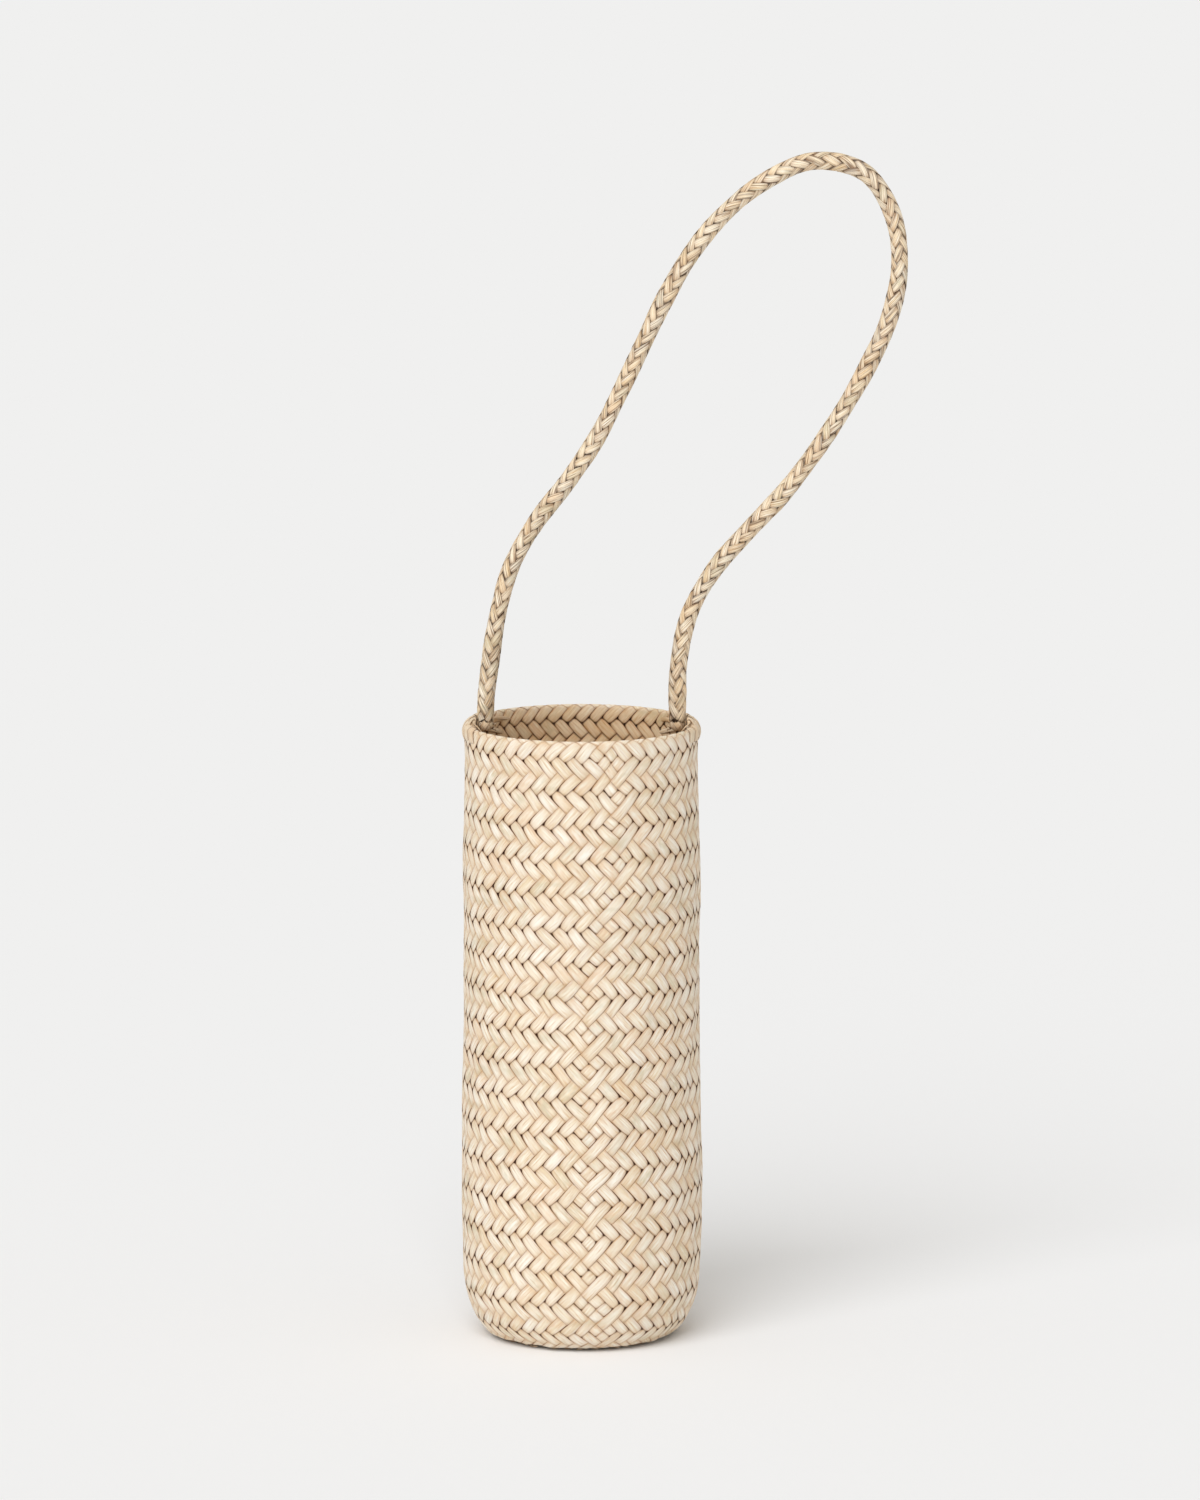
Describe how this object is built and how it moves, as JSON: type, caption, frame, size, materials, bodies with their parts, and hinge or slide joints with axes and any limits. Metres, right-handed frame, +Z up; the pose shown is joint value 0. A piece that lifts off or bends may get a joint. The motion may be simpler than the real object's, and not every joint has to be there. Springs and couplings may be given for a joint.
{
  "type": "woven hanging basket",
  "caption": "Tall round basket of diagonally plaited straw strips, with a rounded heel, a folded rim and a braided rope loop to hang it by.",
  "frame": {"origin": "middle of the base, on the plane that the basket stands on", "axes": "+Z up through the mouth; X runs through both ends of the handle, and the handle leans towards +X; the picture looks along +Y"},
  "size_m": [0.2231, 0.122, 0.5978],
  "materials": {
    "body_straw": "matte dried straw strips",
    "rim_straw": "matte dried straw strips, folded over",
    "rope_straw": "matte braided straw",
    "end_straw": "matte straw strands"
  },
  "bodies": {
    "basket": {"woven_body": "body_straw", "rim_border": "rim_straw", "handle_end_right": "end_straw", "handle_end_left": "end_straw"},
    "handle": {"handle_rope": "rope_straw"}
  },
  "joints": [
    {"name": "handle_swing", "type": "hinge", "parent": "basket", "child": "handle", "pos_m": [0, 0, 0.311], "axis": [1, 0, 0], "range_deg": [-75, 75]}
  ]
}
